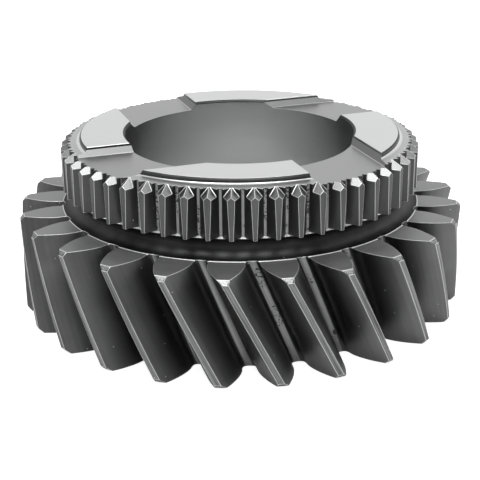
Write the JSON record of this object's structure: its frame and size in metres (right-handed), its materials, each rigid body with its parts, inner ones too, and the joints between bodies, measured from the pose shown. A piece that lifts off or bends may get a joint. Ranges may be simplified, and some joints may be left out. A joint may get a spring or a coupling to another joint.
{
  "type": "transmission gear",
  "caption": "Helical transmission gear with a clutch ring of pointed dog teeth, a round neck groove, a plain bore and a slotted thrust face.",
  "frame": {"origin": "centre of the bore at the lower end face of the helical rim", "axes": "+Z along the bore axis, towards the clutch ring and its thrust face; -Y towards the viewer of the picture"},
  "size_m": [0.15, 0.15, 0.0585],
  "materials": {
    "gear_steel": "satin"
  },
  "bodies": {
    "root": {"gear": "gear_steel"}
  },
  "joints": []
}
